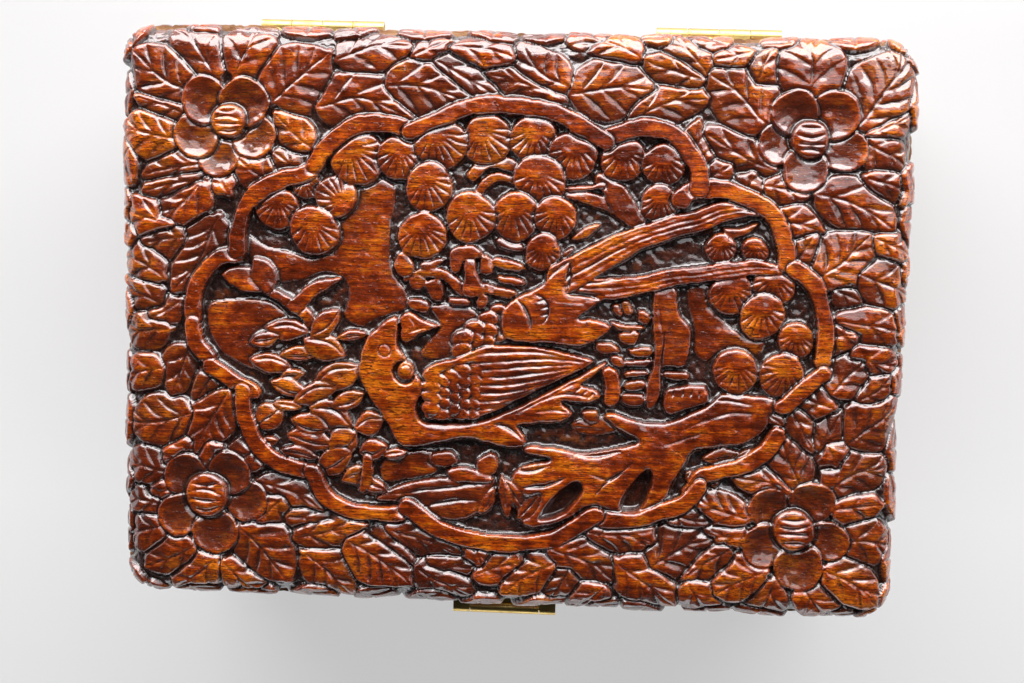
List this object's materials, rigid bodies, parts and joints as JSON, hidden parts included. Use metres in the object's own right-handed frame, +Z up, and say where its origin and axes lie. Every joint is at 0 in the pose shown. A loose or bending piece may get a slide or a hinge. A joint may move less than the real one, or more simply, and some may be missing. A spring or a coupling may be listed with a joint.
{
  "type": "keepsake box",
  "caption": "Rectangular carved wooden keepsake box with a shallow hinged lid, brass butt hinges at the back and a swinging hasp over a staple at the front.",
  "frame": {"origin": "middle of the box's flat underside, on the surface that it stands on", "axes": "+Z up, +X to the right along the box's width seen from the front, -Y towards the front with the hasp, +Y towards the hinges"},
  "size_m": [0.241, 0.1894, 0.101],
  "materials": {
    "carved_wood": "red-brown stain under gloss varnish, nearly black in the carved hollows",
    "plain_wood": "plain planed boards, thin varnish",
    "brass": "pressed brass, lightly tarnished",
    "steel": "plain wire nails"
  },
  "bodies": {
    "body": {"front_wall": "carved_wood", "back_wall": "carved_wood", "left_wall": "carved_wood", "right_wall": "carved_wood", "bottom_board": "plain_wood", "bottom_nails": "steel", "left_hinge_body_leaf": "brass", "right_hinge_body_leaf": "brass", "left_hinge_pin": "brass", "right_hinge_pin": "brass", "body_hinge_screws": "brass", "staple": "brass", "staple_nails": "brass"},
    "lid": {"front_rail": "carved_wood", "back_rail": "carved_wood", "left_rail": "carved_wood", "right_rail": "carved_wood", "lid_board": "carved_wood", "left_hinge_lid_leaf": "brass", "right_hinge_lid_leaf": "brass", "lid_hinge_screws": "brass", "hasp_leaf": "brass", "hasp_pin": "brass", "hasp_screws": "brass"},
    "strap": {"hasp_strap": "brass"}
  },
  "joints": [
    {"name": "lid_hinge", "type": "hinge", "parent": "body", "child": "lid", "pos_m": [0, 0.0895, 0.082], "axis": [-1, 0, 0], "range_deg": [0, 180]},
    {"name": "hasp_hinge", "type": "hinge", "parent": "lid", "child": "strap", "pos_m": [0, -0.0936, 0.081], "axis": [-1, 0, 0], "range_deg": [0, 175]}
  ]
}
